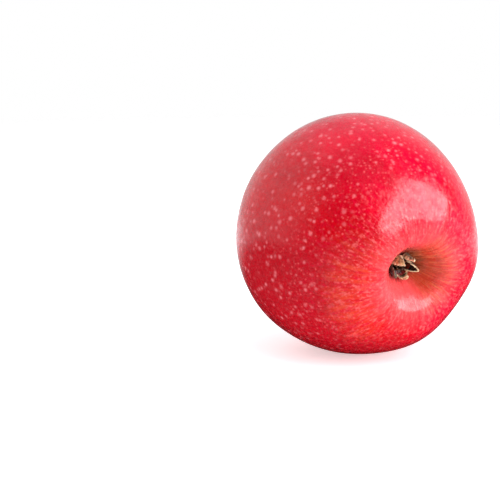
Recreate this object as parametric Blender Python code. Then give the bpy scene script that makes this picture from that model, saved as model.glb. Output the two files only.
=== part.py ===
"""A ripe red apple, as picked, lying on its side with its calyx end to the front.

The fruit is one solid. Its stem stands in the cavity at the back, and what is left of the flower
stands in the basin at the front: five dried sepals, the stamens and the styles.

Lengths are in metres. Every piece is modelled in the apple's own frame, where +z runs along the
axis towards the stem and the origin is on the axis, level with the widest ring. lay_down() then
turns the whole apple onto its side.
"""

import math

import bmesh
import bpy
import numpy
from mathutils import Matrix, Vector
from mathutils.geometry import interpolate_bezier

# Fruit
DIAMETER = 0.076
SHOULDER_HEIGHT = 0.0332  # from the widest ring up to the crest round the stem cavity
SHOULDER_RING_RADIUS = 0.0162
BASE_HEIGHT = 0.0374  # from the widest ring down to the crest round the calyx basin
BASE_RING_RADIUS = 0.0133
CAVITY_DEPTH = 0.0125
BASIN_DEPTH = 0.01
TUBE_RADIUS = 0.002  # the calyx tube is a pit in the middle of the basin
TUBE_DEPTH = 0.0035
REST_FLAT_DEPTH = 0.0004  # how much of the curve is lost where the apple sits

# How full each stretch of the outline is: the reach of the curve's handle at each of its two ends,
# as a share of the run between them
SHOULDER_FULLNESS = (0.28, 0.51)
BELLY_FULLNESS = (0.48, 0.55)
CAVITY_FULLNESS = (0.12, 0.45)
BASIN_FULLNESS = (0.50, 0.30)

# Unevenness: humps round the axis. Angles are about the axis, and 90 degrees is the side the apple
# lies on, which is the middle of a hollow between two belly humps so that the apple can't roll.
BASE_LOBES = 5
BASE_LOBE_SWELL = 0.0002
BASE_LOBE_DROP = 0.0004
BASE_LOBE_ANGLE = math.radians(72)
SHOULDER_HUMPS = 4
SHOULDER_HUMP_RISE = 0.0005
SHOULDER_HUMP_ANGLE = math.radians(20)
BELLY_HUMPS = 3
BELLY_HUMP_SWELL = 0.00035
BELLY_HUMP_ANGLE = math.radians(30)
OVAL_SWELL = 0.0003
OVAL_ANGLE = math.radians(95)

# Stem
STEM_LENGTH = 0.0198  # with its root, the part that is held in the fruit
STEM_ROOT_DEPTH = 0.003
STEM_ROOT_RADIUS = 0.0013
STEM_NECK_RADIUS = 0.0011
STEM_KNOB_RADIUS = 0.0019
STEM_KNOB_LENGTH = 0.0055
STEM_LEAN = 0.0032  # how far the knob stands off the axis
STEM_LEAN_ANGLE = math.radians(215)

# Dried flower
SEPAL_COUNT = 5
SEPAL_SETBACK = 0.0007  # from the rim of the calyx tube
SEPAL_LENGTH = 0.0044
SEPAL_WIDTH = 0.0028
SEPAL_THICKNESS = 0.00045
SEPAL_TIP_SHARE = 0.2  # width at the tip, as a share of SEPAL_WIDTH
SEPAL_CUP_SHARE = 0.2  # depth of the hollow across its foot, as a share of SEPAL_WIDTH
SEPAL_FIRST_ANGLE = math.radians(-8)
SEPAL_LEANS = (30, 10, 14, 4, 18)  # degrees that each sepal leans out at its foot
SEPAL_CURLS = (-66, 18, -40, 30, 12)  # degrees that it turns on the way to its tip, plus is outwards
STAMEN_COUNT = 10
STAMEN_RADIUS = 0.0002
STAMEN_LENGTH = 0.0048
STYLE_COUNT = 5
STYLE_RING_RADIUS = 0.0005
STYLE_RADIUS = 0.00018
STYLE_LENGTH = 0.0042
THREAD_SPLAY = 0.0002  # how much further out a thread's tip stands than its foot

GAP = 0.0003  # left between two pieces that meet
ROUND_STEPS = 64  # facets round the fruit

# Colour and roughness of each finish
SKIN = ((0.60, 0.02, 0.04), 0.3)
BARK = ((0.20, 0.07, 0.02), 0.7)
DRY_LEAF = ((0.26, 0.18, 0.10), 0.85)
DRY_THREAD = ((0.07, 0.04, 0.02), 0.9)


def clear_scene():
    for obj in list(bpy.data.objects):
        bpy.data.objects.remove(obj)


def add_finish(data, finish):
    """Gives a mesh or a curve a material of its own."""
    colour, roughness = finish
    material = bpy.data.materials.new(f"{data.name}_finish")
    material.use_nodes = True
    shader = material.node_tree.nodes["Principled BSDF"]
    shader.inputs["Base Color"].default_value = (*colour, 1)
    shader.inputs["Roughness"].default_value = roughness
    shader.inputs["Metallic"].default_value = 0
    data.materials.append(material)


def make_object(name, bm, finish):
    """Turns a bmesh into an object that is shaded smooth except at its sharp edges."""
    mesh = bpy.data.meshes.new(name)
    bmesh.ops.recalc_face_normals(bm, faces=bm.faces)
    bm.to_mesh(mesh)
    bm.free()
    mesh.shade_smooth()
    mesh.set_sharp_from_angle(angle=math.radians(50))
    add_finish(mesh, finish)
    obj = bpy.data.objects.new(name, mesh)
    bpy.context.scene.collection.objects.link(obj)
    return obj


def smooth_step(value, low, high):
    """0 up to low, 1 from high on, and an even rise between them."""
    share = min(max((value - low) / (high - low), 0), 1)
    return share * share * (3 - 2 * share)


# Fruit


def curve_between(start, end, start_handle, end_handle, steps):
    """Points of (radius, height) on one curve. Each handle is a vector from its own end."""
    points = interpolate_bezier(start, start + start_handle, end + end_handle, end, steps)
    return [point.xy for point in points]


def stem_cavity():
    """The outline of the stem cavity, from the edge of the stem's socket out to the shoulder's crest."""
    start = Vector((STEM_ROOT_RADIUS + GAP, SHOULDER_HEIGHT - CAVITY_DEPTH))
    end = Vector((SHOULDER_RING_RADIUS, SHOULDER_HEIGHT))
    level = Vector((end.x - start.x, 0))
    return curve_between(start, end, level * CAVITY_FULLNESS[0], -level * CAVITY_FULLNESS[1], 10)


def shoulder():
    """From the crest round the stem cavity out to the widest ring."""
    start = Vector((SHOULDER_RING_RADIUS, SHOULDER_HEIGHT))
    end = Vector((DIAMETER / 2, 0))
    level = Vector((end.x - start.x, 0))
    upright = Vector((0, start.y - end.y))
    return curve_between(start, end, level * SHOULDER_FULLNESS[0], upright * SHOULDER_FULLNESS[1], 12)


def belly():
    """From the widest ring down to the crest round the calyx basin."""
    start = Vector((DIAMETER / 2, 0))
    end = Vector((BASE_RING_RADIUS, -BASE_HEIGHT))
    upright = Vector((0, end.y - start.y))
    level = Vector((start.x - end.x, 0))
    return curve_between(start, end, upright * BELLY_FULLNESS[0], level * BELLY_FULLNESS[1], 14)


def calyx_basin():
    """From the crest round the calyx basin in to the rim of the calyx tube."""
    start = Vector((BASE_RING_RADIUS, -BASE_HEIGHT))
    end = Vector((TUBE_RADIUS, BASIN_DEPTH - BASE_HEIGHT))
    level = Vector((start.x - end.x, 0))
    return curve_between(start, end, -level * BASIN_FULLNESS[0], level * BASIN_FULLNESS[1], 10)


def fruit_outline():
    """Half of the fruit's section, from the axis in the stem's socket round to the axis in the calyx tube."""
    cavity, basin = stem_cavity(), calyx_basin()
    socket_floor = cavity[0].y - STEM_ROOT_DEPTH
    tube_floor = basin[-1].y + TUBE_DEPTH
    outline = [Vector((0, socket_floor)), Vector((cavity[0].x, socket_floor))]
    outline += cavity + shoulder()[1:] + belly()[1:] + basin[1:]
    outline += [Vector((TUBE_RADIUS, tube_floor)), Vector((0, tube_floor))]
    return outline


def uneven(point):
    """Where a point of the turned fruit goes once the humps are added. Socket and tube stay round."""
    radius, height = math.hypot(point.x, point.y), point.z
    if radius < GAP:
        return point
    angle = math.atan2(point.y, point.x)

    # How much of each kind of hump shows here, from 0 to 1
    low = smooth_step(-height, 0.3 * BASE_HEIGHT, 0.9 * BASE_HEIGHT)
    low *= smooth_step(radius, 2 * TUBE_RADIUS, BASE_RING_RADIUS)
    high = smooth_step(height, 0.4 * SHOULDER_HEIGHT, SHOULDER_HEIGHT)
    high *= smooth_step(radius, 3 * STEM_ROOT_RADIUS, SHOULDER_RING_RADIUS)
    middle = smooth_step(radius, BASE_RING_RADIUS, DIAMETER / 2)

    lobe = math.cos(BASE_LOBES * (angle - BASE_LOBE_ANGLE))
    shoulder_hump = math.cos(SHOULDER_HUMPS * (angle - SHOULDER_HUMP_ANGLE))
    belly_hump = math.cos(BELLY_HUMPS * (angle - BELLY_HUMP_ANGLE))
    oval = math.cos(2 * (angle - OVAL_ANGLE))
    radius += BASE_LOBE_SWELL * low * lobe
    radius += middle * (BELLY_HUMP_SWELL * belly_hump + OVAL_SWELL * oval)
    height += SHOULDER_HUMP_RISE * high * shoulder_hump - BASE_LOBE_DROP * low * lobe
    return Vector((radius * math.cos(angle), radius * math.sin(angle), height))


def turned_fruit():
    """The whole fruit before it is flattened where it rests, as a bmesh."""
    bm = bmesh.new()
    verts = [bm.verts.new((point.x, 0, point.y)) for point in fruit_outline()]
    edges = [bm.edges.new(pair) for pair in zip(verts, verts[1:])]
    bmesh.ops.spin(
        bm,
        geom=verts + edges,
        axis=(0, 0, 1),
        cent=(0, 0, 0),
        angle=math.tau,
        steps=ROUND_STEPS,
        use_merge=True,
    )
    bmesh.ops.remove_doubles(bm, verts=bm.verts, dist=1e-6)
    for vert in bm.verts:
        vert.co = uneven(vert.co)
    bmesh.ops.recalc_face_normals(bm, faces=bm.faces)
    return bm


def centre_of_volume(bm):
    volume, moment = 0.0, Vector()
    for triangle in bm.calc_loop_triangles():
        a, b, c = (loop.vert.co for loop in triangle)
        wedge = a.dot(b.cross(c)) / 6
        volume += wedge
        moment += wedge * (a + b + c) / 4
    return moment / volume


def lying_turn(dip):
    """Turns the apple onto its side, with the calyx facing -Y and pointing down by dip."""
    return Matrix.Rotation(dip - math.pi / 2, 3, "X")


def downwards(dip):
    """Which way is down in the apple's own frame once it lies at this dip."""
    return lying_turn(dip).transposed() @ Vector((0, 0, -1))


def resting_dip(bm):
    """The dip at which the apple settles on its side: the one that brings its centre lowest."""
    centre = centre_of_volume(bm)
    points = numpy.array([vert.co - centre for vert in bm.verts])

    def centre_height(dip):
        return (points @ numpy.array(downwards(dip))).max()

    dips = numpy.radians(numpy.arange(-15, 30, 0.1))
    return float(min(dips, key=centre_height))


def flatten(bm, down):
    """Cuts the small flat that the apple rests on, and returns the middle of the flat."""
    lowest = max(down.dot(vert.co) for vert in bm.verts)
    bmesh.ops.bisect_plane(
        bm,
        geom=bm.verts[:] + bm.edges[:] + bm.faces[:],
        dist=1e-7,
        plane_co=down * (lowest - REST_FLAT_DEPTH),
        plane_no=down,
        clear_outer=True,
    )
    rim = [edge for edge in bm.edges if edge.is_boundary]
    flat = bmesh.ops.contextual_create(bm, geom=rim)["faces"][0]
    return flat.calc_center_median_weighted()


def build_fruit():
    """The fruit, with the turn that lays it down and the point that it rests on."""
    bm = turned_fruit()
    dip = resting_dip(bm)
    rest = flatten(bm, downwards(dip))
    return make_object("fruit", bm, SKIN), lying_turn(dip), rest


# Stem


def build_stem():
    """A bent, tapered rod that ends in the knob where it broke off the twig."""
    points = 14
    foot = stem_cavity()[0].y - STEM_ROOT_DEPTH + GAP
    root_share = STEM_ROOT_DEPTH / STEM_LENGTH
    curve = bpy.data.curves.new("stem", "CURVE")
    curve.dimensions = "3D"
    curve.bevel_depth = STEM_NECK_RADIUS
    curve.bevel_resolution = 4
    curve.use_fill_caps = True
    spline = curve.splines.new("POLY")
    spline.points.add(points - 1)
    for index, point in enumerate(spline.points):
        share = index / (points - 1)  # of the way from the root's end to the knob's
        lean = STEM_LEAN * (max(share - root_share, 0) / (1 - root_share)) ** 2
        root = 1 - smooth_step(share, root_share, 3 * root_share)
        knob = smooth_step(share, 1 - STEM_KNOB_LENGTH / STEM_LENGTH, 1)
        radius = STEM_NECK_RADIUS
        radius += root * (STEM_ROOT_RADIUS - STEM_NECK_RADIUS)
        radius += knob * (STEM_KNOB_RADIUS - STEM_NECK_RADIUS)
        x, y = lean * math.cos(STEM_LEAN_ANGLE), lean * math.sin(STEM_LEAN_ANGLE)
        point.co = (x, y, foot + share * STEM_LENGTH, 1)
        point.radius = radius / STEM_NECK_RADIUS
    add_finish(curve, BARK)
    obj = bpy.data.objects.new("stem", curve)
    bpy.context.scene.collection.objects.link(obj)
    return obj


# Dried flower


def room_under(verts):
    """How far verts could still sink, along +z, before one of them reaches the floor of the basin."""
    basin = calyx_basin()[::-1]
    radii = [point.x for point in basin]
    heights = [point.y for point in basin]
    return min(numpy.interp(vert.co.xy.length, radii, heights) - vert.co.z for vert in verts)


def build_sepal(index):
    """One sepal: a strip that is bent up its length and cupped across it, narrowing to its tip."""
    rows, columns = 6, 4
    lean, curl = math.radians(SEPAL_LEANS[index]), math.radians(SEPAL_CURLS[index])
    headings = [lean + curl * (row / rows) ** 1.5 for row in range(rows + 1)]
    step = SEPAL_LENGTH / rows
    bm = bmesh.new()
    bmesh.ops.create_grid(bm, x_segments=columns, y_segments=rows, size=0.5)
    for vert in bm.verts:
        across, share = 2 * vert.co.x, vert.co.y + 0.5
        row = round(share * rows)
        width = SEPAL_WIDTH * (1 - (1 - SEPAL_TIP_SHARE) * share**1.4)
        cup = SEPAL_CUP_SHARE * width * (1 - across**2) * (1 - share)
        out = step * sum(math.sin(heading) for heading in headings[:row])
        rise = step * sum(math.cos(heading) for heading in headings[:row])
        vert.co.x = across * width / 2
        vert.co.y = out + cup * math.cos(headings[row])
        vert.co.z = -(rise - cup * math.sin(headings[row]))
    bmesh.ops.recalc_face_normals(bm, faces=bm.faces)
    bmesh.ops.solidify(bm, geom=bm.faces[:], thickness=SEPAL_THICKNESS)
    inner = min(vert.co.y for vert in bm.verts if vert.co.z > -step / 2)
    bmesh.ops.translate(bm, vec=(0, TUBE_RADIUS + SEPAL_SETBACK - inner, 0), verts=bm.verts)
    bmesh.ops.translate(bm, vec=(0, 0, room_under(bm.verts) - GAP), verts=bm.verts)
    angle = SEPAL_FIRST_ANGLE + index * math.tau / SEPAL_COUNT
    bmesh.ops.rotate(bm, cent=(0, 0, 0), matrix=Matrix.Rotation(angle, 3, "Z"), verts=bm.verts)
    return make_object(f"sepal_{index + 1}", bm, DRY_LEAF)


def build_thread(name, angle, ring_radius, radius, length):
    """A thread that stands on the floor of the calyx tube and leans out a little."""
    foot = calyx_basin()[-1].y + TUBE_DEPTH - GAP
    place = Matrix.Rotation(angle, 4, "Z") @ Matrix.Translation((ring_radius, 0, foot))
    place @= Matrix.Rotation(math.pi, 4, "X")
    place @= Matrix.Rotation(math.atan2(THREAD_SPLAY, length), 4, "Y")
    place @= Matrix.Translation((0, 0, length / 2))
    bm = bmesh.new()
    bmesh.ops.create_cone(
        bm,
        cap_ends=True,
        segments=6,
        radius1=radius,
        radius2=0.7 * radius,
        depth=length,
        matrix=place,
    )
    return make_object(name, bm, DRY_THREAD)


def build_stamen(index):
    ring_radius = TUBE_RADIUS - GAP - THREAD_SPLAY - STAMEN_RADIUS
    angle = index * math.tau / STAMEN_COUNT
    return build_thread(f"stamen_{index + 1}", angle, ring_radius, STAMEN_RADIUS, STAMEN_LENGTH)


def build_style(index):
    angle = index * math.tau / STYLE_COUNT
    return build_thread(f"style_{index + 1}", angle, STYLE_RING_RADIUS, STYLE_RADIUS, STYLE_LENGTH)


def lay_down(objects, turn, rest):
    """Parents every piece to one empty, which lays the apple down with its flat's middle at the origin."""
    holder = bpy.data.objects.new("apple", None)
    bpy.context.scene.collection.objects.link(holder)
    holder.rotation_euler = turn.to_euler()
    holder.location = -(turn @ rest)
    for obj in objects:
        obj.parent = holder


def main():
    clear_scene()
    fruit, turn, rest = build_fruit()
    pieces = [fruit, build_stem()]
    pieces += [build_sepal(index) for index in range(SEPAL_COUNT)]
    pieces += [build_stamen(index) for index in range(STAMEN_COUNT)]
    pieces += [build_style(index) for index in range(STYLE_COUNT)]
    lay_down(pieces, turn, rest)


main()
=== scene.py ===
import math

import bmesh
import bpy
import numpy
from mathutils import Matrix, Vector, noise
from mathutils.geometry import interpolate_bezier


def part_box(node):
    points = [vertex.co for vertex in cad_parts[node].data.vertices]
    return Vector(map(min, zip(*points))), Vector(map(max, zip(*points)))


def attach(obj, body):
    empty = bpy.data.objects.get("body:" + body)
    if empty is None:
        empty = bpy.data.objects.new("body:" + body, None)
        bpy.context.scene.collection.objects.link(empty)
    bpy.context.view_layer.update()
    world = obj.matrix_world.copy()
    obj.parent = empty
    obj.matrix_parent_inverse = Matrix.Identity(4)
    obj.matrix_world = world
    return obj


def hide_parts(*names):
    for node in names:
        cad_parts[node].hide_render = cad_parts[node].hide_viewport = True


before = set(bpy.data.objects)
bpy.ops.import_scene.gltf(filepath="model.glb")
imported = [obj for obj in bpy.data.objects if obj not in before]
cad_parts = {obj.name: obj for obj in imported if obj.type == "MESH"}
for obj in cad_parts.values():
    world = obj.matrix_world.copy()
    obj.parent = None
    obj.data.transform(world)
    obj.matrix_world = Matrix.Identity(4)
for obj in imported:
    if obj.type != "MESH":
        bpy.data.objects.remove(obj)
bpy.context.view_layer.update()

scene = bpy.context.scene
scene.view_settings.view_transform = "Standard"
mm = 0.001


# Small helpers

def smoothStep(value, low, high):
    share = min(max((value - low) / (high - low), 0), 1)
    return share * share * (3 - 2 * share)


def screenColour(red, green, blue):
    # 0 to 255 as a screen shows it, turned into the linear colour that a shader mixes
    def linear(value):
        value /= 255
        return value / 12.92 if value <= 0.04045 else ((value + 0.055) / 1.055) ** 2.4

    return (linear(red), linear(green), linear(blue), 1)


def finishPiece(name, bm, material, body, slot, *nodes):
    # the bmesh becomes a smooth piece that rides on a body and stands for its CAD nodes
    mesh = bpy.data.meshes.new(name)
    bm.to_mesh(mesh)
    bm.free()
    mesh.shade_smooth()
    mesh.materials.append(material)
    piece = bpy.data.objects.new(name, mesh)
    scene.collection.objects.link(piece)
    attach(piece, body)
    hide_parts(*nodes)


# Shader helpers. A value can be a number, a colour or another node's output

def addNode(tree, kind, **settings):
    made = tree.nodes.new(kind)
    for name, value in settings.items():
        setattr(made, name, value)
    return made


def feed(tree, socket, value):
    if isinstance(value, bpy.types.NodeSocket):
        tree.links.new(value, socket)
    elif value is not None:
        socket.default_value = value


def calc(tree, operation, first, second=None, third=None):
    made = addNode(tree, "ShaderNodeMath", operation=operation)
    for socket, value in zip(made.inputs, (first, second, third)):
        feed(tree, socket, value)
    return made.outputs[0]


def vectorCalc(tree, operation, first, second=None, output=0):
    made = addNode(tree, "ShaderNodeVectorMath", operation=operation)
    feed(tree, made.inputs[0], first)
    feed(tree, made.inputs[1], second)
    return made.outputs[output]


def rise(tree, value, low, high, bottom=0.0, top=1.0):
    # goes smoothly from bottom to top while value goes from low to high
    made = addNode(tree, "ShaderNodeMapRange", interpolation_type="SMOOTHSTEP")
    for name, setting in (
        ("Value", value),
        ("From Min", low),
        ("From Max", high),
        ("To Min", bottom),
        ("To Max", top),
    ):
        feed(tree, made.inputs[name], setting)
    return made.outputs[0]


def times(tree, *values):
    result = values[0]
    for value in values[1:]:
        result = calc(tree, "MULTIPLY", result, value)
    return result


def paint(tree, share, under, over):
    made = addNode(tree, "ShaderNodeMix", data_type="RGBA")
    feed(tree, made.inputs[0], share)
    feed(tree, made.inputs[6], under)
    feed(tree, made.inputs[7], over)
    return made.outputs[2]


def cloud(tree, where, scale, detail=2.0, roughness=0.5):
    made = addNode(tree, "ShaderNodeTexNoise")
    feed(tree, made.inputs["Vector"], where)
    made.inputs["Scale"].default_value = scale
    made.inputs["Detail"].default_value = detail
    made.inputs["Roughness"].default_value = roughness
    return made.outputs["Fac"]


def newMaterial(name):
    material = bpy.data.materials.new(name)
    material.use_nodes = True
    tree = material.node_tree
    return material, tree, tree.nodes["Principled BSDF"]


def addBump(tree, shader, height, strength, depth):
    bump = addNode(tree, "ShaderNodeBump")
    bump.inputs["Strength"].default_value = strength
    bump.inputs["Distance"].default_value = depth
    feed(tree, bump.inputs["Height"], height)
    feed(tree, shader.inputs["Normal"], bump.outputs[0])


def newGroup(name, inputs, outputs):
    # inputs and outputs are (name, kind, starting value)
    tree = bpy.data.node_groups.new(name, "ShaderNodeTree")
    for label, kind, value in inputs:
        socket = tree.interface.new_socket(name=label, in_out="INPUT", socket_type=kind)
        if value is not None:
            socket.default_value = value
    for label, kind, _ in outputs:
        tree.interface.new_socket(name=label, in_out="OUTPUT", socket_type=kind)
    return tree, addNode(tree, "NodeGroupInput"), addNode(tree, "NodeGroupOutput")


def placeGroup(tree, group, **values):
    made = addNode(tree, "ShaderNodeGroup", node_tree=group)
    for socket in made.inputs:
        feed(tree, socket, values.get(socket.name))
    return made.outputs


print("kit and helpers ready")


# Where the apple lies. Its own frame has the stem along +z and the widest ring at z = 0

# folds are (count, turn in radians, depth), humps (count, turn in degrees, depth)
fruitSize = {
    "radius": 38 * mm,
    "shoulderHeight": 33.2 * mm,
    "shoulderRing": 16.2 * mm,
    "baseHeight": 37.4 * mm,
    "baseRing": 13.3 * mm,
    "cavityDepth": 12.5 * mm,
    "basinDepth": 10 * mm,
    "tubeRadius": 2 * mm,
    "tubeDepth": 3.5 * mm,
    "socketRadius": 1.6 * mm,
    "socketDepth": 3 * mm,
    "rimRound": 0.5 * mm,
    "aroundSteps": 288,
    "dip": 12.5,
    "baseLobes": (5, 72, 0.2 * mm, 0.4 * mm),
    "shoulderHumps": (4, 20, 0.5 * mm),
    "bellyHumps": (3, 30, 0.35 * mm),
    "oval": (2, 95, 0.3 * mm),
    "dents": ((48, 0.13 * mm), (130, 0.035 * mm)),
    "basinFolds": (
        (7, 0.4, 0.10 * mm),
        (12, 2.1, 0.09 * mm),
        (19, 5.0, 0.07 * mm),
        (29, 1.2, 0.04 * mm),
    ),
    "cavityFolds": ((5, 1.0, 0.25 * mm), (9, 2.6, 0.16 * mm), (16, 4.4, 0.08 * mm)),
    "pressHeight": 3 * mm,
    "pressSoftness": 0.08 * mm,
}
# each curve of the section: its first and its last handle, as shares of its reach, and its steps
fruitCurves = {
    "cavity": (0.12, 0.45, 46),
    "crown": (0.28, 0.51, 56),
    "belly": (0.48, 0.55, 60),
    "basin": (0.50, 0.30, 60),
}
lyingTurn = Matrix.Rotation(math.radians(fruitSize["dip"] - 90), 4, "X")


def bezierRun(start, end, startHandle, endHandle, steps):
    points = interpolate_bezier(start, start + startHandle, end + endHandle, end, steps)
    return [Vector(point[:2]) for point in points]


def fruitOutline():
    # half a section as (radius, height), from the calyx tube's floor round to the socket's floor
    size = fruitSize
    socketEdge = Vector((size["socketRadius"], size["shoulderHeight"] - size["cavityDepth"]))
    shoulder = Vector((size["shoulderRing"], size["shoulderHeight"]))
    widest = Vector((size["radius"], 0))
    base = Vector((size["baseRing"], -size["baseHeight"]))
    tubeEdge = Vector((size["tubeRadius"], size["basinDepth"] - size["baseHeight"]))

    level = Vector((shoulder.x - socketEdge.x, 0))
    first, last, steps = fruitCurves["cavity"]
    cavity = bezierRun(socketEdge, shoulder, first * level, -last * level, steps)
    level, upright = Vector((widest.x - shoulder.x, 0)), Vector((0, shoulder.y))
    first, last, steps = fruitCurves["crown"]
    crown = bezierRun(shoulder, widest, first * level, last * upright, steps)
    level, upright = Vector((widest.x - base.x, 0)), Vector((0, base.y))
    first, last, steps = fruitCurves["belly"]
    belly = bezierRun(widest, base, first * upright, last * level, steps)
    level = Vector((base.x - tubeEdge.x, 0))
    first, last, steps = fruitCurves["basin"]
    basin = bezierRun(base, tubeEdge, -first * level, last * level, steps)

    # the tube's rim is rounded over, then its wall narrows a little to a dished floor
    rimRound = size["rimRound"]
    basin = [point for point in basin if point.x > tubeEdge.x + rimRound]
    wallTop = tubeEdge + Vector((0, rimRound))
    handle = 0.6 * rimRound
    rim = bezierRun(basin[-1], wallTop, Vector((-handle, 0)), Vector((0, -handle)), 8)
    wallFoot = tubeEdge + Vector((-0.25 * rimRound, size["tubeDepth"] - rimRound))
    wall = [wallTop.lerp(wallFoot, share / 6) for share in range(1, 7)]
    floor = bezierRun(
        wallFoot,
        Vector((0, tubeEdge.y + size["tubeDepth"])),
        Vector((0, handle)),
        Vector((0.6 * wallFoot.x, 0)),
        8,
    )
    tube = (rim[1:] + wall + floor[1:])[::-1]

    socketFoot = socketEdge - Vector((0, size["socketDepth"]))
    socket = [socketEdge.lerp(socketFoot, share / 5) for share in range(1, 6)]
    socket += [Vector((share * socketFoot.x, socketFoot.y)) for share in (0.5, 0)]
    return tube + basin[::-1] + belly[::-1][1:] + crown[::-1][1:] + cavity[::-1][1:] + socket


def unevenPoint(point):
    # the same humps as the CAD fruit has: five lobes at the base, four on the shoulder, a slight oval
    size = fruitSize
    radius, height = math.hypot(point.x, point.y), point.z
    if radius < 0.3 * mm:
        return point
    angle = math.atan2(point.y, point.x)
    low = smoothStep(-height, 0.3 * size["baseHeight"], 0.9 * size["baseHeight"])
    low *= smoothStep(radius, 2 * size["tubeRadius"], size["baseRing"])
    high = smoothStep(height, 0.4 * size["shoulderHeight"], size["shoulderHeight"])
    high *= smoothStep(radius, 3.9 * mm, size["shoulderRing"])
    middle = smoothStep(radius, size["baseRing"], size["radius"])
    lobes, turn, swell, drop = size["baseLobes"]
    lobe = math.cos(lobes * (angle - math.radians(turn)))
    radius += swell * low * lobe
    height -= drop * low * lobe
    humps, turn, bump = size["shoulderHumps"]
    height += bump * high * math.cos(humps * (angle - math.radians(turn)))
    humps, turn, swell = size["bellyHumps"]
    radius += middle * swell * math.cos(humps * (angle - math.radians(turn)))
    humps, turn, swell = size["oval"]
    radius += middle * swell * math.cos(humps * (angle - math.radians(turn)))
    return Vector((radius * math.cos(angle), radius * math.sin(angle), height))


def foldDepth(folds, angle):
    # several counts of folds laid over each other, so that no two creases are alike
    return sum(depth * math.cos(count * angle + shift) for count, shift, depth in folds)


def finePush(vert, along, wholeLength):
    # how far a point of the skin stands out or in, besides the humps
    size = fruitSize
    push = sum(depth * noise.noise(vert.co * scale) for scale, depth in size["dents"])
    push *= smoothStep(along, 0, 8 * mm) * smoothStep(wholeLength - along, 0, 6 * mm)
    angle = math.atan2(vert.co.y, vert.co.x)
    inBasin = smoothStep(along, -0.2 * mm, 1.6 * mm)
    inBasin *= 1 - smoothStep(along, 3 * mm, 11 * mm)
    push += inBasin * foldDepth(size["basinFolds"], angle)
    fromSocket = wholeLength - along
    inCavity = smoothStep(fromSocket, 0.5 * mm, 5 * mm)
    inCavity *= 1 - smoothStep(fromSocket, 10 * mm, 24 * mm)
    push += inCavity * foldDepth(size["cavityFolds"], angle)
    return push


def skinEnds(outline):
    # the places in the outline where the open skin starts, at the tube, and ends, at the stem's socket
    size = fruitSize
    rimRing = size["tubeRadius"] + 0.2 * mm
    rimHeight = size["basinDepth"] + size["rimRound"] - size["baseHeight"]
    inTube = [i for i, point in enumerate(outline) if point.y <= rimHeight]
    first = min(inTube, key=lambda i: abs(outline[i].x - rimRing))
    high = [i for i, point in enumerate(outline) if point.y > 20 * mm]
    last = max(i for i in high if outline[i].x >= size["socketRadius"])
    return first, last


def buildFruit():
    outline = fruitOutline()
    along = [0.0]
    for a, b in zip(outline, outline[1:]):
        along.append(along[-1] + (b - a).length)
    first, last = skinEnds(outline)
    start = along[first]
    wholeLength = along[last] - start

    bm = bmesh.new()
    alongSkin = bm.verts.layers.float.new("alongSkin")
    verts = []
    for point, distance in zip(outline, along):
        vert = bm.verts.new((point.x, 0, point.y))
        vert[alongSkin] = distance - start
        verts.append(vert)
    edges = [bm.edges.new(pair) for pair in zip(verts, verts[1:])]
    bmesh.ops.spin(
        bm,
        geom=verts + edges,
        axis=(0, 0, 1),
        cent=(0, 0, 0),
        angle=math.tau,
        steps=fruitSize["aroundSteps"],
        use_merge=True,
    )
    bmesh.ops.remove_doubles(bm, verts=bm.verts, dist=1e-6)
    bmesh.ops.recalc_face_normals(bm, faces=bm.faces)
    for vert in bm.verts:
        vert.co = unevenPoint(vert.co)
    bm.normal_update()
    pushes = [finePush(vert, vert[alongSkin], wholeLength) for vert in bm.verts]
    for vert, push in zip(bm.verts, pushes):
        vert.co += push * vert.normal
    return bm, wholeLength


def layDown(bm):
    # turns the fruit onto its side inside the box of the CAD fruit and presses its resting spot flat
    low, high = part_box("fruit")
    bm.transform(lyingTurn)
    points = numpy.array([vert.co for vert in bm.verts])
    middle = (points.min(axis=0) + points.max(axis=0)) / 2
    centre = (low + high) / 2
    shift = Vector((centre.x - middle[0], centre.y - middle[1], high.z - points[:, 2].max()))
    bmesh.ops.translate(bm, vec=shift, verts=bm.verts)
    soft = fruitSize["pressSoftness"]
    for vert in bm.verts:
        if vert.co.z < fruitSize["pressHeight"]:
            vert.co.z = (vert.co.z + math.hypot(vert.co.z, soft)) / 2
    return Matrix.Translation(shift) @ lyingTurn


fruitMesh, skinLength = buildFruit()
place = layDown(fruitMesh)
print("fruit shaped", len(fruitMesh.faces), "faces, skin length", round(skinLength, 4))


# Materials

def appleCoordinates(tree):
    # Object coordinates turned back into the apple's own frame, in metres
    back = place.inverted()
    coordinates = addNode(tree, "ShaderNodeTexCoord")
    mapping = addNode(tree, "ShaderNodeMapping", vector_type="POINT")
    mapping.inputs["Location"].default_value = back.to_translation()
    mapping.inputs["Rotation"].default_value = back.to_euler("XYZ")
    tree.links.new(coordinates.outputs["Object"], mapping.inputs["Vector"])
    return mapping.outputs["Vector"]


dotLook = {
    "sizeSpread": 0.45,
    "leastSize": 0.7,
    "paleSpread": 0.4,
    "leastPale": 0.6,
    "core": 0.0,
    "bare": 0.06,
    "wobbleScale": 500,
    "wobble": 0.3 * mm,
}


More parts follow.
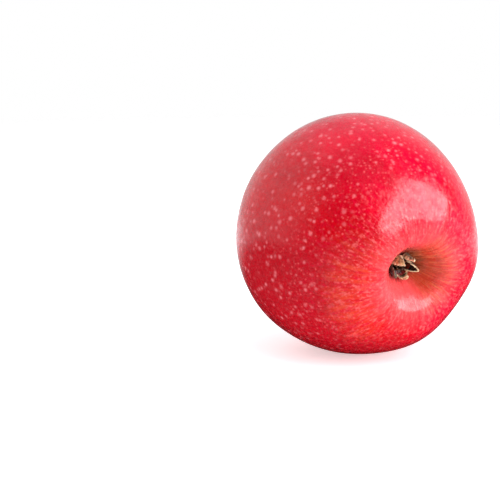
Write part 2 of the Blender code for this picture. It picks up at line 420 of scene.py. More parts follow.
def makeDotsGroup():
    # soft round spots of uneven size, one in each cell that has one
    tree, given, made = newGroup(
        "skinDots",
        [
            ("Vector", "NodeSocketVector", None),
            ("Scale", "NodeSocketFloat", 400.0),
            ("Radius", "NodeSocketFloat", 0.25),
            ("Core", "NodeSocketFloat", 0.3),
            ("Bare", "NodeSocketFloat", 0.2),
        ],
        [("Mask", "NodeSocketFloat", None)],
    )
    cells = addNode(tree, "ShaderNodeTexVoronoi", feature="F1")
    tree.links.new(given.outputs["Vector"], cells.inputs["Vector"])
    tree.links.new(given.outputs["Scale"], cells.inputs["Scale"])
    draws = addNode(tree, "ShaderNodeSeparateColor")
    tree.links.new(cells.outputs["Color"], draws.inputs[0])
    size = calc(tree, "MULTIPLY_ADD", draws.outputs[0], dotLook["sizeSpread"], dotLook["leastSize"])
    radius = calc(tree, "MULTIPLY", size, given.outputs["Radius"])
    core = calc(tree, "MULTIPLY", radius, given.outputs["Core"])
    spot = rise(tree, cells.outputs["Distance"], core, radius, 1.0, 0.0)
    present = calc(tree, "GREATER_THAN", draws.outputs[1], given.outputs["Bare"])
    strength = calc(tree, "MULTIPLY_ADD", draws.outputs[2], dotLook["paleSpread"], dotLook["leastPale"])
    tree.links.new(times(tree, spot, present, strength), made.inputs["Mask"])
    return tree


def makeMottleGroup():
    # blotches of a darker and a lighter tone with a fine height for the bump
    tree, given, made = newGroup(
        "dryMottle",
        [
            ("Vector", "NodeSocketVector", None),
            ("Scale", "NodeSocketFloat", 900.0),
            ("Dark", "NodeSocketColor", (0.05, 0.02, 0.01, 1)),
            ("Light", "NodeSocketColor", (0.4, 0.25, 0.15, 1)),
        ],
        [("Color", "NodeSocketColor", None), ("Height", "NodeSocketFloat", None)],
    )
    blotches = addNode(tree, "ShaderNodeTexNoise")
    blotches.inputs["Detail"].default_value = 4
    blotches.inputs["Roughness"].default_value = 0.6
    tree.links.new(given.outputs["Vector"], blotches.inputs["Vector"])
    tree.links.new(given.outputs["Scale"], blotches.inputs["Scale"])
    share = rise(tree, blotches.outputs["Fac"], 0.33, 0.68)
    tree.links.new(paint(tree, share, given.outputs["Dark"], given.outputs["Light"]), made.inputs["Color"])
    tree.links.new(blotches.outputs["Fac"], made.inputs["Height"])
    return tree


dotsGroup = makeDotsGroup()
mottleGroup = makeMottleGroup()

skinLook = {
    "crimson": (212, 0, 48),
    "deepRed": (184, 0, 24),
    "brightRed": (226, 2, 48),
    "warmRed": (204, 0, 18),
    "warmBright": (212, 2, 26),
    "calyxPink": (244, 84, 86),
    "orangeRed": (226, 78, 44),
    "dashPink": (252, 126, 122),
    "paleDot": (250, 144, 150),
    "orangeDot": (240, 104, 104),
    "russetBrown": (108, 60, 34),
    "russetOrange": (184, 54, 26),
    "fibreTan": (232, 132, 88),
    "fibreBrown": (128, 36, 22),
    # tubeBrownAndShade: the dry tube's brown, also used as painted shade in and beside the tube
    "tubeBrownAndShade": (52, 24, 12),
    "cavityYellow": (246, 172, 52),
    "cavityCream": (250, 205, 140),
}
# gloss: each pair is the least and the most, spread by a noise of the scale beside it
skinGloss = {
    "roughness": (0.16, 0.34),
    "dullScale": 700,
    "coat": (0.12, 0.72),
    "smearScale": 480,
    "coatRoughness": 0.11,
    "specular": 0.38,
    "pebbleScale": 900,
    "bumpStrength": 0.6,
    "bumpDepth": 0.12 * mm,
}
# What lies on the skin. grain: how close its streaks stand round the apple and along it, or else scale
# and shift, the size and the place of its patches.
# noise: its detail and roughness. mask: the noise where the mark starts and where it is full.
# side: the middle of its side, then the half widths where it is full and where it ends, in degrees.
# band: where it starts, is full, fades and ends, and edge: where it is full and ends, both in
# millimetres from the calyx. swing: how far its noise moves that edge. dots: scale and radius.
skinMarks = {
    "patches": {"scale": 55, "shift": (0, 0, 0), "noise": (3, 0.5), "mask": (0.35, 0.65)},
    "deepPatches": {
        "scale": 42,
        "shift": (0.3, 0.1, 0.2),
        "noise": (3, 0.55),
        "mask": (0.47, 0.68),
        "share": 0.7,
    },
    "warmSide": {"side": (155, 55, 100)},
    "streaks": {"grain": (7, 22), "noise": (3, 0.6), "mask": (0.45, 0.75), "share": 0.5},
    "fineStreaks": {"grain": (22, 60), "noise": (3, 0.6), "mask": (0.5, 0.8), "share": 0.35},
    # shadeBelt is painted shade: a deeper red on one side below the calyx
    "shadeBelt": {"side": (142, 35, 80), "band": (22, 33, 60, 84), "share": 0.78},
    "orangeGround": {
        "side": (165, 10, 65),
        "band": (14, 21, 26, 36),
        "grain": (14, 50),
        "noise": (3, 0.6),
        "mask": (0.38, 0.7, 0.05, 0.65),
    },
    "pinkEdge": {"grain": (9, 30), "noise": (2, 0.5), "swing": 14},
    "pinkSkin": {"edge": (8, 23), "share": 0.95},
    "thinLines": {
        "grain": (26, 380),
        "noise": (2, 0.6),
        "mask": (0.48, 0.68),
        "band": (6, 11, 30, 48),
        "share": 0.6,
    },
    "cream": {"grain": (16, 20), "noise": (3, 0.6), "mask": (0.45, 0.65)},
    "yellowEdge": {"grain": (7, 8), "noise": (4, 0.65), "swing": 46},
    "largeDots": {"dots": (410, 0.41), "band": (24, 42, 105, 122), "share": 0.78},
    "smallDots": {"dots": (820, 0.42), "band": (12, 20, 42, 58), "share": 0.72},
    "dashes": {
        "grain": (24, 560),
        "noise": (2, 0.6),
        "mask": (0.5, 0.7),
        "band": (7, 12, 22, 38),
        "share": 0.42,
    },
    "russetEdge": {"grain": (20, 60), "noise": (4, 0.65), "swing": 8},
    "orangeRusset": {"side": (-6, 44, 76), "edge": (8, 17), "share": 0.9},
    "brownRusset": {"side": (-40, 30, 75), "edge": (3, 10), "share": 0.85},
    "paleFibres": {
        "side": (-5, 50, 85),
        "band": (1, 3, 12, 21),
        "grain": (34, 150),
        "noise": (3, 0.7),
        "mask": (0.42, 0.68),
        "share": 0.55,
    },
    "darkFibres": {
        "side": (-15, 50, 85),
        "band": (1, 3, 11, 19),
        "grain": (22, 110),
        "noise": (3, 0.7),
        "mask": (0.46, 0.7),
        "share": 0.42,
    },
    # paintedTubeShade: painted shade, a dark brown patch beside the tube on one side
    "paintedTubeShade": {"side": (150, 25, 65), "edge": (1.5, 4.5), "share": 0.9},
    # tube: the tube's dry brown, deepened by painted shade in its hollow
    "tube": {"edge": (0.6, 2.6), "share": 0.95},
    "puckers": {"grain": (24, 560), "noise": (2, 0.6), "band": (5, 12, 34, 60), "share": 2.0},
}
yellowReach = (26 * mm, 8 * mm)  # before the stem's socket: where the yellow starts and where it is full
socketBrown = (1 * mm, 0.5 * mm)  # from before the socket's edge to inside it


def makeSkin():
    gloss = skinGloss
    tone = {name: screenColour(*value) for name, value in skinLook.items()}
    material, tree, shader = newMaterial("appleSkin")
    where = appleCoordinates(tree)
    alongNode = addNode(tree, "ShaderNodeAttribute", attribute_name="alongSkin")
    along = alongNode.outputs["Fac"]
    facing = vectorCalc(tree, "NORMALIZE", vectorCalc(tree, "MULTIPLY", where, (1, 1, 0)))
    wobble = addNode(tree, "ShaderNodeTexNoise")
    feed(tree, wobble.inputs["Vector"], where)
    wobble.inputs["Scale"].default_value = dotLook["wobbleScale"]
    wobbled = vectorCalc(tree, "MULTIPLY", wobble.outputs["Color"], [dotLook["wobble"]] * 3)
    dotPlace = vectorCalc(tree, "ADD", where, wobbled)

    def grain(aroundScale, alongScale):
        # coordinates for streaks that run from the calyx to the stem
        sideways = vectorCalc(tree, "MULTIPLY", facing, (aroundScale, aroundScale, 0))
        rising = addNode(tree, "ShaderNodeCombineXYZ")
        feed(tree, rising.inputs[2], times(tree, along, alongScale))
        return vectorCalc(tree, "ADD", sideways, rising.outputs[0])

    def markNoise(mark):
        if "grain" in mark:
            return cloud(tree, grain(*mark["grain"]), 1, *mark["noise"])
        shifted = vectorCalc(tree, "ADD", where, mark["shift"])
        return cloud(tree, shifted, mark["scale"], *mark["noise"])

    def unevenAlong(name):
        # the way along the skin, moved to and fro by a noise
        mark = skinMarks[name]
        swing = mark["swing"] * mm
        return calc(tree, "MULTIPLY_ADD", markNoise(mark), swing, calc(tree, "ADD", along, -swing / 2))

    def markShare(name, unevenEdge=None):
        mark = skinMarks[name]
        parts = []
        if "side" in mark:
            angle, full, end = (math.radians(value) for value in mark["side"])
            turn = vectorCalc(tree, "DOT_PRODUCT", facing, (math.cos(angle), math.sin(angle), 0), output=1)
            parts.append(rise(tree, turn, math.cos(end), math.cos(full)))
        if "band" in mark:
            start, full, fade, end = (value * mm for value in mark["band"])
            parts.append(rise(tree, along, start, full))
            parts.append(rise(tree, along, fade, end, 1.0, 0.0))
        if "edge" in mark:
            full, end = (value * mm for value in mark["edge"])
            parts.append(rise(tree, unevenEdge, full, end, 1.0, 0.0))
        if "mask" in mark:
            parts.append(rise(tree, markNoise(mark), *mark["mask"]))
        if "dots" in mark:
            scale, radius = mark["dots"]
            values = {"Scale": scale, "Radius": radius, "Core": dotLook["core"], "Bare": dotLook["bare"]}
            parts.append(placeGroup(tree, dotsGroup, Vector=dotPlace, **values)["Mask"])
        return times(tree, *parts, mark.get("share", 1.0))

    # the red: slow patches, a warmer side, streaks along the apple and a deeper red belt below the calyx,
    # painted shade on that side
    patches = markShare("patches")
    cool = paint(tree, patches, tone["crimson"], tone["brightRed"])
    warm = paint(tree, patches, tone["warmRed"], tone["warmBright"])
    colour = paint(tree, markShare("warmSide"), cool, warm)
    for name in ("deepPatches", "streaks", "fineStreaks", "shadeBelt"):
        colour = paint(tree, markShare(name), colour, tone["deepRed"])

    # orange ground showing through beside the calyx, pinker skin round it, and thin lines
    colour = paint(tree, markShare("orangeGround"), colour, tone["orangeRed"])
    colour = paint(tree, markShare("pinkSkin", unevenAlong("pinkEdge")), colour, tone["calyxPink"])
    colour = paint(tree, markShare("thinLines"), colour, tone["crimson"])

    # yellow stem cavity with cream streaks that run out over the shoulder
    starts, full = (skinLength - reach for reach in yellowReach)
    yellowShare = rise(tree, unevenAlong("yellowEdge"), starts, full)
    yellow = paint(tree, markShare("cream"), tone["cavityYellow"], tone["cavityCream"])
    colour = paint(tree, yellowShare, colour, yellow)

    # lenticels, sparse and large towards the stem, small and close towards the calyx, then short pale
    # dashes round the calyx, where the skin is puckered
    colour = paint(tree, markShare("largeDots"), colour, tone["paleDot"])
    colour = paint(tree, markShare("smallDots"), colour, tone["orangeDot"])
    colour = paint(tree, markShare("dashes"), colour, tone["dashPink"])

    # russet on one side of the basin, in fibres that run down to the tube. Painted shade darkens the
    # tube's
    # dry brown in its hollow and lies as a dark patch beside it on one side
    russetEdge = unevenAlong("russetEdge")
    for name, over in (
        ("orangeRusset", "russetOrange"),
        ("brownRusset", "russetBrown"),
        ("paleFibres", "fibreTan"),
        ("darkFibres", "fibreBrown"),
        ("paintedTubeShade", "tubeBrownAndShade"),
        ("tube", "tubeBrownAndShade"),
    ):
        colour = paint(tree, markShare(name, russetEdge), colour, tone[over])
    outside, inside = socketBrown
    socketShare = rise(tree, along, skinLength - outside, skinLength + inside)
    colour = paint(tree, socketShare, colour, tone["tubeBrownAndShade"])

    feed(tree, shader.inputs["Base Color"], colour)
    shader.inputs["Specular IOR Level"].default_value = gloss["specular"]
    shader.inputs["Coat Roughness"].default_value = gloss["coatRoughness"]
    dull = cloud(tree, where, gloss["dullScale"], 3)
    feed(tree, shader.inputs["Roughness"], rise(tree, dull, 0.3, 0.7, *gloss["roughness"]))
    smears = cloud(tree, where, gloss["smearScale"], 3, 0.65)
    feed(tree, shader.inputs["Coat Weight"], rise(tree, smears, 0.32, 0.68, *gloss["coat"]))

    # the skin is very finely pebbled, and puckered round the calyx
    puckers = times(tree, markNoise(skinMarks["puckers"]), markShare("puckers"))
    pebbles = calc(tree, "ADD", puckers, cloud(tree, where, gloss["pebbleScale"]))
    addBump(tree, shader, pebbles, gloss["bumpStrength"], gloss["bumpDepth"])
    return material


# the dry pieces: overlays are (attribute that says where, colour), and bump is (strength, depth)
stemLook = {
    "dark": (58, 26, 12),
    "light": (150, 82, 34),
    "stretch": (1, 1, 0.12),
    "scale": 1500.0,
    "roughness": (0.72, 0.52),
    "overlays": (("paleEnd", (214, 168, 128)),),
    "sheen": 0.0,
    "bump": (0.7, 0.15 * mm),
}
sepalLook = {
    "dark": (104, 76, 40),
    "light": (206, 174, 112),
    "stretch": (1, 1, 1),
    "scale": 1100.0,
    "roughness": (0.9, 0.7),
    # shadeAndBrown: the sepals' dry brown together with painted shade, near black at the roots and on the
    # shaded sepals
    "overlays": (("shadeAndBrown", (30, 14, 8)), ("paleEdge", (240, 222, 176))),
    "sheen": 0.3,
    "bump": (0.6, 0.1 * mm),
}
threadLook = {
    "dark": (48, 26, 14),
    "light": (158, 122, 88),
    "stretch": (1, 1, 1),
    "scale": 2500.0,
    "roughness": (0.85, 0.65),
    "overlays": (),
    "sheen": 0.0,
    "bump": None,
}


def makeDryMaterial(name, look):
    material, tree, shader = newMaterial(name)
    where = vectorCalc(tree, "MULTIPLY", appleCoordinates(tree), look["stretch"])
    dark, light = screenColour(*look["dark"]), screenColour(*look["light"])
    mottle = placeGroup(tree, mottleGroup, Vector=where, Scale=look["scale"], Dark=dark, Light=light)
    colour = mottle["Color"]
    for attribute, over in look["overlays"]:
        mask = addNode(tree, "ShaderNodeAttribute", attribute_name=attribute)
        colour = paint(tree, mask.outputs["Fac"], colour, screenColour(*over))
    feed(tree, shader.inputs["Base Color"], colour)
    feed(tree, shader.inputs["Roughness"], rise(tree, mottle["Height"], 0.3, 0.7, *look["roughness"]))
    shader.inputs["Sheen Weight"].default_value = look["sheen"]
    shader.inputs["Sheen Roughness"].default_value = 0.5
    if look["bump"]:
        addBump(tree, shader, mottle["Height"], *look["bump"])
    return material


skinMaterial = makeSkin()
barkMaterial = makeDryMaterial("stemBark", stemLook)
leafMaterial = makeDryMaterial("driedSepal", sepalLook)
threadMaterial = makeDryMaterial("driedThread", threadLook)
print("materials ready")

finishPiece("appleFruit", fruitMesh, skinMaterial, "root", "fruit_skin", "fruit")


# Stem

stemShape = {
    "length": 19.8 * mm,
    "foot": 18 * mm,
    "rootDepth": 3 * mm,
    "rootRadius": 1.3 * mm,
    "neckRadius": 1.1 * mm,
    "knobRadius": 1.9 * mm,
    "knobLength": 5.5 * mm,
    "lean": 3.2 * mm,
    "leanAngle": 215,
    "sides": 40,
    "rows": 70,
    "ridges": ((7, 0.5, 0.05 * mm), (12, 1.9, 0.04 * mm), (19, 4.0, 0.025 * mm)),
    "ridgeTurn": 0.5,
    "roughness": 0.08 * mm,
    "tornFrom": 0.93,
    "torn": 0.5 * mm,
    # inward and outward steps across the broken end
    "endSteps": (
        (0.12 * mm, 0.02 * mm),
        (0.2 * mm, -0.1 * mm),
        (0.5 * mm, -0.2 * mm),
        (0.5 * mm, 0.05 * mm),
    ),
}


def stemRow(share):
    # the middle and the radius of the stem at a share of its length
    shape = stemShape
    rootShare = shape["rootDepth"] / shape["length"]
    lean = shape["lean"] * (max(share - rootShare, 0) / (1 - rootShare)) ** 2
    angle = math.radians(shape["leanAngle"])
    root = 1 - smoothStep(share, rootShare, 3 * rootShare)
    knob = smoothStep(share, 1 - shape["knobLength"] / shape["length"], 1)
    radius = shape["neckRadius"]
    radius += root * (shape["rootRadius"] - shape["neckRadius"])
    radius += knob * (shape["knobRadius"] - shape["neckRadius"])
    height = shape["foot"] + share * shape["length"]
    middle = Vector((lean * math.cos(angle), lean * math.sin(angle), height))
    return middle, radius


def buildStem():
    # a tall cylinder cut into rows, ridged like bark, with a broken end
    shape = stemShape
    bm = bmesh.new()
    paleEnd = bm.verts.layers.float.new("paleEnd")
    bmesh.ops.create_cone(bm, cap_ends=True, segments=shape["sides"], radius1=1, radius2=1, depth=1)
    upright = [edge for edge in bm.edges if abs(edge.verts[0].co.z - edge.verts[1].co.z) > 0.5]
    bmesh.ops.subdivide_edges(bm, edges=upright, cuts=shape["rows"] - 1)
    caps = [face for face in bm.faces if len(face.verts) == shape["sides"]]
    end = next(face for face in caps if face.verts[0].co.z > 0.49)
    for vert in bm.verts:
        angle, share = math.atan2(vert.co.y, vert.co.x), vert.co.z + 0.5
        middle, radius = stemRow(share)
        side = Vector((math.cos(angle), math.sin(angle), 0))
        rough = shape["roughness"] * noise.noise(3 * side + Vector((0, 0, 14 * share)))
        radius += foldDepth(shape["ridges"], angle + shape["ridgeTurn"] * share) + rough
        torn = shape["torn"] * noise.noise(2 * side + Vector((0, 0, 7))) - shape["torn"] / 2
        torn *= smoothStep(share, shape["tornFrom"], 1)
        vert.co = middle + side * radius + Vector((0, 0, torn))
    for thickness, depth in shape["endSteps"]:
        bmesh.ops.inset_region(bm, faces=[end], thickness=thickness, depth=depth, use_even_offset=False)
        for vert in end.verts:
            vert[paleEnd] = 1
    bmesh.ops.recalc_face_normals(bm, faces=bm.faces)
    bm.transform(place)
    return bm


finishPiece("woodyStem", buildStem(), barkMaterial, "root", "stem_bark", "stem")
print("stem made")


# Dried flower: sepals

sepalShape = {
    "length": 4.4 * mm,
    "width": 2.9 * mm,
    "thickness": 0.2 * mm,
    "setback": 0.45 * mm,
    "sunk": 0.05 * mm,
    "tipShare": 0.06,
    "taper": 1.8,
    "curlPower": 1.5,
    "ragged": 0.34,
    "cupShare": 0.22,
    "cupLoss": 0.6,
    "rollFrom": 0.55,
    "rollNarrows": 0.25,
    # depth, then how close the wrinkles stand across and along, and which part of the noise they use
    "wrinkles": ((0.16 * mm, 2.6, 5, 1.7), (0.07 * mm, 6, 11, 4.1)),
    "edgeFrom": 0.6,
    "edgeUneven": 0.5,
    "edgeFade": 0.35,
    "paleTip": (0.8, 0.97),
    "rootShadeAndBrown": (0.7, 0.3),
    "firstAngle": -8,
    "rows": 30,
    "columns": 14,
}
# lean, curl and twist in degrees, how far the edges roll in, how dark the blade is with dry brown and
# painted shade, and how pale its edge is
bendNames = ("lean", "curl", "twist", "roll", "broad", "long", "shadeAndBrown", "pale")
sepalBends = [
    dict(zip(bendNames, values))
    for values in (
        (30, -120, 16, 0.6, 1.15, 0.95, 0.0, 1.0),
        (14, 16, -14, 0.7, 1.15, 1.0, 0.9, 0.15),
        (12, -66, 26, 0.5, 1.3, 1.05, 0.1, 0.7),
        (-4, 8, -36, 1.5, 0.9, 1.1, 0.45, 1.0),
        (12, 12, 6, 2.2, 1.2, 0.95, 0.95, 1.0),
    )
]


def basinHeight(radius):
    # the smooth basin's height at a distance from the axis
    size = fruitSize
    below = [point for point in fruitOutline() if point.y < 0]
    curve = [point for point in below if size["tubeRadius"] < point.x < size["baseRing"]]
    curve.sort(key=lambda point: point.x)
    return numpy.interp(radius, [point.x for point in curve], [point.y for point in curve])


def buildSepal(index):
    # a grid bent along its length, then cupped, rolled, twisted and wrinkled
    shape, bend = sepalShape, sepalBends[index]
    rows, columns = shape["rows"], shape["columns"]
    lean, curl = math.radians(bend["lean"]), math.radians(bend["curl"])
    headings = [lean + curl * (row / rows) ** shape["curlPower"] for row in range(rows + 1)]
    step = shape["length"] * bend["long"] / rows
    outs = [step * sum(math.sin(heading) for heading in headings[:row]) for row in range(rows + 1)]
    rises = [step * sum(math.cos(heading) for heading in headings[:row]) for row in range(rows + 1)]
    bm = bmesh.new()
    paleEdge = bm.verts.layers.float.new("paleEdge")
    shadeAndBrown = bm.verts.layers.float.new("shadeAndBrown")
    bmesh.ops.create_grid(bm, x_segments=columns, y_segments=rows, size=0.5)
    for vert in bm.verts:
        across, share = 2 * vert.co.x, vert.co.y + 0.5
        row = round(share * rows)
        side = 1 if across > 0 else -1
        ragged = 1 + shape["ragged"] * noise.noise(Vector((side * 2.0 + index * 5, share * 9, 0.3)))
        narrowing = 1 - (1 - shape["tipShare"]) * share ** shape["taper"]
        width = shape["width"] * bend["broad"] * narrowing * ragged
        depth = shape["cupShare"] * width * (1 - across**2) * (1 - shape["cupLoss"] * share)
        rolling = max(abs(across) - shape["rollFrom"], 0)
        depth -= bend["roll"] * rolling**2 * width
        for height, closeAcross, closeAlong, part in shape["wrinkles"]:
            spot = Vector((across * closeAcross + index * 7, share * closeAlong, part))
            depth += height * noise.noise(spot)
        x = across * width / 2 * (1 - shape["rollNarrows"] * bend["roll"] * rolling)
        turn = math.radians(bend["twist"]) * share
        x, depth = x * math.cos(turn) - depth * math.sin(turn), x * math.sin(turn) + depth * math.cos(turn)
        vert.co.x = x
        vert.co.y = outs[row] + depth * math.cos(headings[row])
        vert.co.z = -(rises[row] - depth * math.sin(headings[row]))

        uneven = shape["edgeUneven"] * noise.noise(Vector((side + index * 3, share * 7, 2.2)))
        edgeStart = shape["edgeFrom"] + uneven
        atEdge = smoothStep(abs(across), edgeStart, edgeStart + shape["edgeFade"])
        vert[paleEdge] = bend["pale"] * max(atEdge, smoothStep(share, *shape["paleTip"]))
        # the root is darkened by its dry brown and by painted shade where it stands down in the basin
        brown, fadesBy = shape["rootShadeAndBrown"]
        vert[shadeAndBrown] = max(bend["shadeAndBrown"], brown - brown * smoothStep(share, 0.0, fadesBy))
    bmesh.ops.recalc_face_normals(bm, faces=bm.faces)
    bmesh.ops.solidify(bm, geom=bm.faces[:], thickness=shape["thickness"])

    # its root stands back from the tube's edge and is sunk just inside the basin's skin
    inner = min(vert.co.y for vert in bm.verts if vert.co.z > -1.5 * step)
    outwards = fruitSize["tubeRadius"] + shape["setback"] - inner
    bmesh.ops.translate(bm, vec=(0, outwards, 0), verts=bm.verts)
    room = min(basinHeight(math.hypot(vert.co.x, vert.co.y)) - vert.co.z for vert in bm.verts)
    bmesh.ops.translate(bm, vec=(0, 0, room + shape["sunk"]), verts=bm.verts)
    angle = math.radians(shape["firstAngle"]) + index * math.tau / len(sepalBends)
    bmesh.ops.rotate(bm, cent=(0, 0, 0), matrix=Matrix.Rotation(angle, 3, "Z"), verts=bm.verts)
    bmesh.ops.recalc_face_normals(bm, faces=bm.faces)
    bm.transform(place)
    return bm


for index in range(len(sepalBends)):
    name, node = f"sepal{index + 1}", f"sepal_{index + 1}"
    finishPiece(name, buildSepal(index), leafMaterial, "root", "dry_sepal", node)
print("sepals made")


# Dried flower: threads

threadShape = {
    "foot": -24.2 * mm,
    "stamens": {"count": 10, "ring": 1.3 * mm, "radius": 0.13 * mm, "length": 4.8 * mm, "sway": 0.35 * mm},
    "styles": {"count": 5, "ring": 0.5 * mm, "radius": 0.15 * mm, "length": 4.2 * mm, "sway": 0.2 * mm},
    "lengthLoss": 0.12,
    "spread": 0.2 * mm,
    "taper": 0.35,
    "head": 0.9,
    "headFrom": 0.86,
    "headFull": 0.94,
    "headEnds": 0.95,
    "tipLoss": 0.6,
    "swayPace": 2.2,
    "sides": 8,
    "rows": 16,
}


def addThread(bm, kind, index):
    # a bent thread that thickens to a small head
    kit, shape = threadShape, threadShape[kind]
    start = len(bm.verts)
    bmesh.ops.create_cone(bm, cap_ends=True, segments=kit["sides"], radius1=1, radius2=1, depth=1)
    bm.verts.ensure_lookup_table()
    upright = {edge for vert in bm.verts[start:] for edge in vert.link_edges}
    upright = [edge for edge in upright if abs(edge.verts[0].co.z - edge.verts[1].co.z) > 0.5]
    bmesh.ops.subdivide_edges(bm, edges=upright, cuts=kit["rows"] - 1)
    bm.verts.ensure_lookup_table()
    angle = index * math.tau / shape["count"]
    seed = 11.3 * index + (40 if kind == "styles" else 0)
    length = shape["length"] * (1 - kit["lengthLoss"] * abs(noise.noise(Vector((seed, 5, 5)))))
    turn = Matrix.Rotation(angle, 3, "Z")
    for vert in bm.verts[start:]:
        share = vert.co.z + 0.5
        head = smoothStep(share, kit["headFrom"], kit["headFull"])
        head *= 1 - kit["tipLoss"] * smoothStep(share, kit["headEnds"], 1)
        radius = shape["radius"] * (1 - kit["taper"] * share + kit["head"] * head)
        swing = 2 * shape["sway"] * share
        sway = [swing * noise.noise(Vector((seed, kit["swayPace"] * share, part))) for part in (0, 9)]
        middle = turn @ Vector((shape["ring"] + kit["spread"] * share, 0, 0))
        x, y = vert.co.x * radius + sway[0], vert.co.y * radius + sway[1]
        vert.co = Vector((x, y, kit["foot"] - share * length))
        vert.co += middle


def buildThreads(kind):
    bm = bmesh.new()
    for index in range(threadShape[kind]["count"]):
        addThread(bm, kind, index)
    bmesh.ops.recalc_face_normals(bm, faces=bm.faces)
    bm.transform(place)
    return bm


for kind, name in (("stamens", "stamen"), ("styles", "style")):
    nodes = [f"{name}_{index + 1}" for index in range(threadShape[kind]["count"])]
    finishPiece(f"{name}Threads", buildThreads(kind), threadMaterial, "root", "dry_thread", *nodes)
print("threads made")


# Floor, light and camera

# darkSide points to the side of the floor that the gloss sees dark, and darkFrom and darkFull say where
floorLook = {
    "radius": 1.2,
    "fadeStart": 0.45,
    "fadeEnd": 1.1,
    "white": (0.92, 0.92, 0.92, 1),
    "darkSide": (-0.52, -0.85, 0),
    "darkFrom": -0.22,
    "darkFull": -0.03,
    "darkInGloss": (0.02, 0.018, 0.02, 1),
    "paleInGloss": (0.5, 0.48, 0.5, 1),
    "glow": 0.56,
    "underGlow": 0.5,
    "rimGlow": 0.5,
    "roughness": 0.9,
    "specular": 0.1,
}


def buildFloor():
    look = floorLook
    material, tree, shader = newMaterial("paleFloor")
    material.use_transparent_shadow = True
    bm = bmesh.new()
    bmesh.ops.create_circle(bm, cap_ends=True, segments=96, radius=look["radius"])
    mesh = bpy.data.meshes.new("paleFloor")
    bm.to_mesh(mesh)
    bm.free()
    mesh.materials.append(material)
    floor = bpy.data.objects.new("paleFloor", mesh)
    scene.collection.objects.link(floor)
    coordinates = addNode(tree, "ShaderNodeTexCoord")
    distance = vectorCalc(tree, "LENGTH", coordinates.outputs["Object"], output=1)
    shown = rise(tree, distance, look["fadeStart"], look["fadeEnd"], 1.0, 0.0)
    feed(tree, shader.inputs["Alpha"], shown)
    path = addNode(tree, "ShaderNodeLightPath")
    side = vectorCalc(tree, "DOT_PRODUCT", coordinates.outputs["Object"], look["darkSide"], output=1)
    darkShare = rise(tree, side, look["darkFrom"], look["darkFull"])
    reflected = paint(tree, darkShare, look["paleInGloss"], look["darkInGloss"])
    colour = paint(tree, path.outputs["Is Glossy Ray"], look["white"], reflected)
    feed(tree, shader.inputs["Base Color"], colour)
    shader.inputs["Roughness"].default_value = look["roughness"]
    shader.inputs["Specular IOR Level"].default_value = look["specular"]
    shader.inputs["Emission Color"].default_value = look["white"]
    glow = times(tree, path.outputs["Is Camera Ray"], look["glow"])
    underGlow = times(tree, path.outputs["Is Diffuse Ray"], look["underGlow"])
    paleShare = calc(tree, "SUBTRACT", 1.0, darkShare)
    rimGlow = times(tree, path.outputs["Is Glossy Ray"], paleShare, look["rimGlow"])
    strength = calc(tree, "ADD", calc(tree, "ADD", glow, underGlow), rimGlow)
    feed(tree, shader.inputs["Emission Strength"], strength)


# compass 0 is the side that the calyx faces, and 90 is the apple's right as seen from there
lightNames = ("name", "compass", "height", "away", "size", "radiance", "roll", "gloss")
lights = [
    dict(zip(lightNames, values))
    for values in (
        ("keyBox", 36, 21, 1.0, (1.16, 1.0), 5.0, -38, True),
        ("leftWall", -120, 18, 1.3, (1.6, 1.4), 0.1, 0, True),
        ("leftFill", -118, 44, 1.2, (1.4, 1.2), 1.35, 0, False),
        ("lowFill", 50, 6, 0.9, (1.0, 0.22), 1.2, 0, False),
        ("topFill", 10, 82, 1.0, (0.8, 0.8), 2.2, 0, False),
    )
]
lightTint = (1.0, 0.95, 0.99)
lightAim = (0, 0, 0.038)


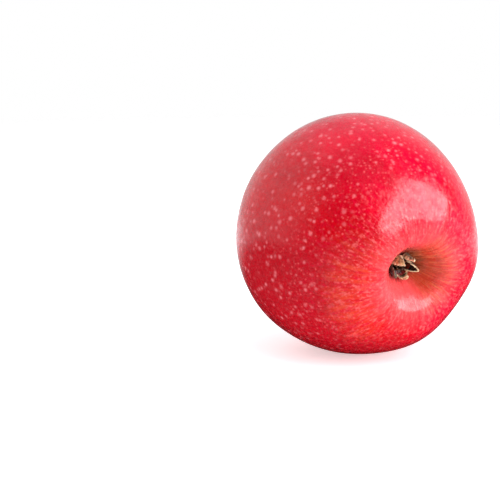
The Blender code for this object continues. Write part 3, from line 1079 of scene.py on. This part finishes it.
def addSoftBox(light):
    compass, height = math.radians(light["compass"]), math.radians(light["height"])
    level = math.cos(height)
    direction = Vector((math.sin(compass) * level, -math.cos(compass) * level, math.sin(height)))
    data = bpy.data.lights.new(light["name"], "AREA")
    data.shape = "RECTANGLE"
    data.size, data.size_y = light["size"]
    data.energy = light["radiance"] * math.pi * data.size * data.size_y
    data.color = lightTint
    box = bpy.data.objects.new(light["name"], data)
    scene.collection.objects.link(box)
    box.location = Vector(lightAim) + direction * light["away"]
    roll = Matrix.Rotation(math.radians(light["roll"]), 3, "Z")
    box.rotation_euler = (direction.to_track_quat("Z", "Y").to_matrix() @ roll).to_euler()
    box.visible_glossy = light["gloss"]


worldLook = {
    "darkSide": (0.1, -1.0, 0.0),
    "dark": 0.02,
    "bright": 0.6,
    "from": 0.1,
    "to": -0.6,
    "background": 1.0,
}


def buildWorld():
    # a pale room that is dark on the camera's side, and plain white behind the apple
    look = worldLook
    world = bpy.data.worlds.new("studioRoom")
    scene.world = world
    world.use_nodes = True
    tree = world.node_tree
    shader = tree.nodes["Background"]
    coordinates = addNode(tree, "ShaderNodeTexCoord")
    facing = vectorCalc(tree, "NORMALIZE", coordinates.outputs["Generated"])
    darkness = vectorCalc(tree, "DOT_PRODUCT", facing, Vector(look["darkSide"]).normalized(), output=1)
    light = rise(tree, darkness, look["to"], look["from"], look["bright"], look["dark"])
    path = addNode(tree, "ShaderNodeLightPath")
    seen = path.outputs["Is Camera Ray"]
    unseen = calc(tree, "SUBTRACT", 1.0, seen)
    light = calc(tree, "ADD", times(tree, light, unseen), times(tree, seen, look["background"]))
    shader.inputs["Color"].default_value = (1, 1, 1, 1)
    feed(tree, shader.inputs["Strength"], light)


cameraSetup = {
    "standsAt": (-0.23223, -0.37896, 0.1079),
    "aimedAt": (-0.0293, 0.01695, 0.0325),
    "lens": 101.3,
    "sensor": 36,
    "roll": -0.67,
}


def buildCamera():
    setup = cameraSetup
    data = bpy.data.cameras.new("camera")
    data.lens = setup["lens"]
    data.sensor_width = setup["sensor"]
    data.clip_start = 0.01
    data.clip_end = 20
    camera = bpy.data.objects.new("camera", data)
    scene.collection.objects.link(camera)
    sight = Vector(setup["aimedAt"]) - Vector(setup["standsAt"])
    camera.location = setup["standsAt"]
    roll = Matrix.Rotation(math.radians(setup["roll"]), 4, "Z")
    camera.rotation_euler = (sight.to_track_quat("-Z", "Y").to_matrix().to_4x4() @ roll).to_euler()
    scene.camera = camera


buildFloor()
for light in lights:
    addSoftBox(light)
buildWorld()
buildCamera()
print("floor, lights and camera ready")
